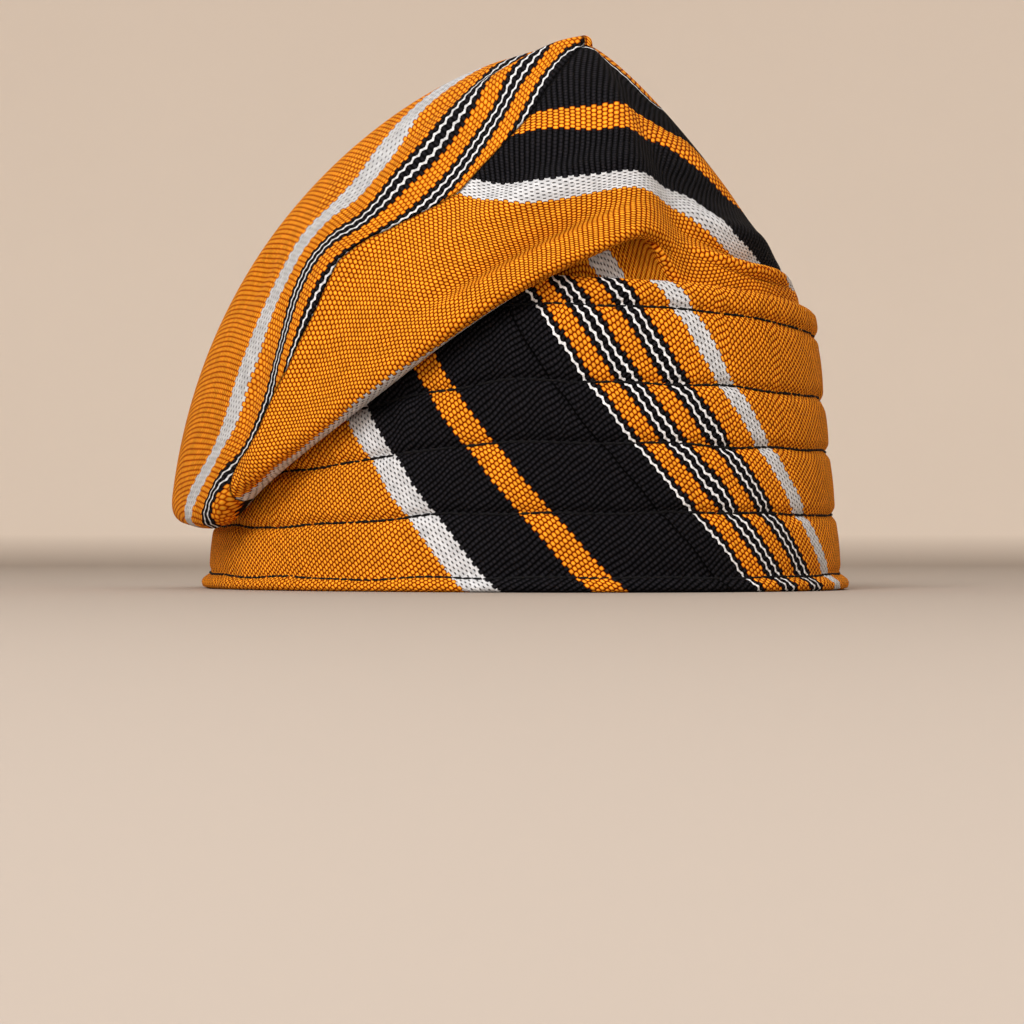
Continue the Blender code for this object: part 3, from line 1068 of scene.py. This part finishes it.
# %% The thread's material
def thread_finish():
    material = bpy.data.materials.new("black_thread")
    material.use_nodes = True
    wiring = Wiring(material.node_tree)
    shader = material.node_tree.nodes["Principled BSDF"]
    noise = wiring.node("ShaderNodeTexNoise", wiring.node("ShaderNodeTexCoord").outputs["Object"])
    wiring.fill(noise, Scale=2500)
    colour = wiring.mix(noise.outputs["Fac"], (0.003, 0.003, 0.0035, 1), (0.012, 0.0115, 0.013, 1))
    bumps = wiring.node("ShaderNodeBump")
    wiring.fill(bumps, Distance=0.0001, Height=noise.outputs["Fac"])
    wiring.fill(shader, Base_Color=colour, Normal=bumps.outputs[0])
    wiring.fill(shader, Roughness=0.75, Specular_IOR_Level=0.1)
    return material


black_thread = thread_finish()


# %% A tree that sews one path
def stitching_tree():
    tree = bpy.data.node_groups.new("rows_of_stitches", "GeometryNodeTree")
    face = tree.interface
    face.new_socket("Path", in_out="INPUT", socket_type="NodeSocketGeometry")
    lengths = {"Stitch pitch": 0.0028, "Stitch length": 0.0025, "Thread width": 0.0009}
    for name, value in lengths.items():
        face.new_socket(name, in_out="INPUT", socket_type="NodeSocketFloat").default_value = value
    face.new_socket("Seed", in_out="INPUT", socket_type="NodeSocketInt").default_value = 3
    face.new_socket("Finish", in_out="INPUT", socket_type="NodeSocketMaterial")
    face.new_socket("Stitches", in_out="OUTPUT", socket_type="NodeSocketGeometry")
    wiring = Wiring(tree)
    given = wiring.node("NodeGroupInput").outputs
    curve = wiring.node("GeometryNodeMeshToCurve", given["Path"]).outputs[0]
    points = wiring.node("GeometryNodeCurveToPoints", mode="LENGTH")
    wiring.fill(points, Curve=curve, Length=given["Stitch pitch"])
    turn = wiring.node("FunctionNodeAlignRotationToVector", axis="Z")
    wiring.fill(turn, Vector=points.outputs["Tangent"])
    sway = wiring.node("FunctionNodeRandomValue", data_type="FLOAT_VECTOR")
    sway.inputs[0].default_value = (-0.09, -0.09, -0.09)
    sway.inputs[1].default_value = (0.09, 0.09, 0.09)
    wiring.fill(sway, Seed=given["Seed"])
    swayed = wiring.node("FunctionNodeRotateRotation", rotation_space="LOCAL")
    wiring.feed(swayed.inputs[0], turn.outputs[0])
    wiring.feed(swayed.inputs[1], sway.outputs[0])
    stitch = wiring.node("GeometryNodeMeshUVSphere")
    wiring.fill(stitch, Segments=8, Rings=6, Radius=0.5)
    size = wiring.node("ShaderNodeCombineXYZ")
    for axis, name in (("X", "Thread width"), ("Y", "Thread width"), ("Z", "Stitch length")):
        wiring.feed(size.inputs[axis], given[name])
    placed = wiring.node("GeometryNodeInstanceOnPoints")
    wiring.fill(placed, Points=points.outputs["Points"], Instance=stitch.outputs["Mesh"])
    wiring.fill(placed, Rotation=swayed.outputs[0], Scale=size.outputs[0])
    real = wiring.node("GeometryNodeRealizeInstances", placed.outputs[0])
    finished = wiring.node("GeometryNodeSetMaterial", real.outputs[0])
    wiring.fill(finished, Material=given["Finish"])
    smooth = wiring.node("GeometryNodeSetShadeSmooth", finished.outputs[0])
    wiring.node("NodeGroupOutput", smooth.outputs[0])
    return tree


def made_by_nodes(name, mesh, tree, **values):
    """Runs a tree on a mesh and returns its result as a plain mesh object."""
    source = plain_object(name + "_path", mesh)
    modifier = source.modifiers.new("nodes", "NODES")
    modifier.node_group = tree
    items = [item for item in tree.interface.items_tree if item.in_out == "INPUT"]
    sockets = {item.name: item.identifier for item in items}
    for key, value in values.items():
        modifier[sockets[key]] = value
    graph = bpy.context.evaluated_depsgraph_get()
    made = bpy.data.meshes.new_from_object(source.evaluated_get(graph))
    made.name = name
    source.modifiers.remove(modifier)
    bpy.data.objects.remove(source)
    return plain_object(name, made)


# %% Sew the five rows
def row_path_mesh():
    """Closed paths of edges, one for each row, lying in the band's grooves."""
    mesh = bpy.data.meshes.new("row_paths")
    points, edges = [], []
    for row in range(len(STITCH_ROWS)):
        first = len(points)
        for column, angle in enumerate(band_angles):
            level = row_levels[row, column]
            out = float(outer_offset(np.array([level]), column)[0]) + 0.00012
            points.append(band_point(angle, level, out) + BAND_MIDDLE)
            edges.append((first + column, first + (column + 1) % BAND_COLUMNS))
    mesh.from_pydata([tuple(point) for point in points], edges, [])
    return mesh


stitches = made_by_nodes(
    "band_stitches", row_path_mesh(), stitching_tree(),
    **{"Stitch pitch": 0.0027, "Stitch length": 0.0029, "Thread width": 0.0008, "Seed": 3,
       "Finish": black_thread},
)
print("stitches", len(stitches.data.polygons), "faces")

# %% [markdown]
# ## The stage: floor, backdrop and light
#
# The cap stands on a plain pale floor that rises into a backdrop with no corner, all round, so
# that it looks the same from every side. A large soft light hangs in front and a little to the
# left, a weaker one fills from low on the same side, and one from behind lifts the outline.


# %% Floor and backdrop in one
def backdrop_mesh():
    outline = [(radius, 0) for radius in (0.0, 0.2, 0.5, 1.0, 1.6)]
    outline += [
        (1.6 + 1.0 * math.sin(turn), 1.0 - 1.0 * math.cos(turn))
        for turn in np.linspace(0, math.pi / 2, 14)[1:]
    ]
    outline += [(2.6, 2.2), (2.6, 3.2)]
    mesh = bpy.data.meshes.new("backdrop")
    shape = bmesh.new()
    steps = 72
    rings = []
    for radius, up in outline[1:]:
        rings.append([
            shape.verts.new((radius * math.cos(a), radius * math.sin(a), up))
            for a in np.arange(steps) * 2 * math.pi / steps
        ])
    middle = shape.verts.new((0, 0, 0))
    for i in range(steps):
        shape.faces.new((middle, rings[0][i], rings[0][(i + 1) % steps]))
        for inner, outer in zip(rings, rings[1:]):
            shape.faces.new((inner[i], outer[i], outer[(i + 1) % steps], inner[(i + 1) % steps]))
    shape.to_mesh(mesh)
    shape.free()
    mesh.shade_smooth()
    return mesh


def backdrop_finish():
    material = bpy.data.materials.new("pale_paper")
    material.use_nodes = True
    wiring = Wiring(material.node_tree)
    shader = material.node_tree.nodes["Principled BSDF"]
    noise = wiring.node("ShaderNodeTexNoise", wiring.node("ShaderNodeTexCoord").outputs["Object"])
    wiring.fill(noise, Scale=3)
    colour = wiring.mix(noise.outputs["Fac"], (0.90, 0.80, 0.70, 1), (0.93, 0.83, 0.73, 1))
    rise = wiring.node("ShaderNodeSeparateXYZ", wiring.node("ShaderNodeTexCoord").outputs["Object"])
    wall = wiring.clamped("MULTIPLY_ADD", rise.outputs["Z"], 40, 0)
    colour = wiring.mix(wall, (0.44, 0.375, 0.32, 1), colour)
    wiring.fill(shader, Base_Color=colour, Roughness=0.9, Specular_IOR_Level=0.1)
    return material


backdrop = plain_object("backdrop", backdrop_mesh())
backdrop.data.materials.append(backdrop_finish())


# %% Soft lights
def soft_light(name, azimuth, elevation, distance, width, power):
    """A square area light that looks at the cap. Azimuth is turned from the camera's side."""
    lamp = bpy.data.lights.new(name, "AREA")
    lamp.size = width
    lamp.energy = power
    holder = bpy.data.objects.new(name, lamp)
    bpy.context.scene.collection.objects.link(holder)
    turn, up = math.radians(-30 + azimuth), math.radians(elevation)
    out = Vector((math.sin(turn) * math.cos(up), -math.cos(turn) * math.cos(up), math.sin(up)))
    target = Vector(BAND_MIDDLE) + Vector((0, 0, 0.07))
    holder.location = target + out * distance
    holder.rotation_euler = (-out).to_track_quat("-Z", "Y").to_euler()
    return holder


soft_light("key", -18, 34, 1.7, 0.7, 20.5)
soft_light("fill", -15, 6, 1.9, 1.4, 6)
soft_light("top", 160, 66, 1.8, 1.0, 3)
world = bpy.data.worlds.new("studio")
world.use_nodes = True
world.node_tree.nodes["Background"].inputs["Color"].default_value = (1, 0.99, 0.98, 1)
world.node_tree.nodes["Background"].inputs["Strength"].default_value = 0.66
bpy.context.scene.world = world

# %% [markdown]
# ## Put it on the frame
#
# The cloth stands in for the plain solids, and every piece rides on the one body. The crown is
# one sheet of cloth.

# %% Ride and replace
for piece, slot in ((band, "band_cloth"), (crown, "crown_cloth"), (stitches, "thread")):
    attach(piece, "root")
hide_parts("band")
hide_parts("crown")
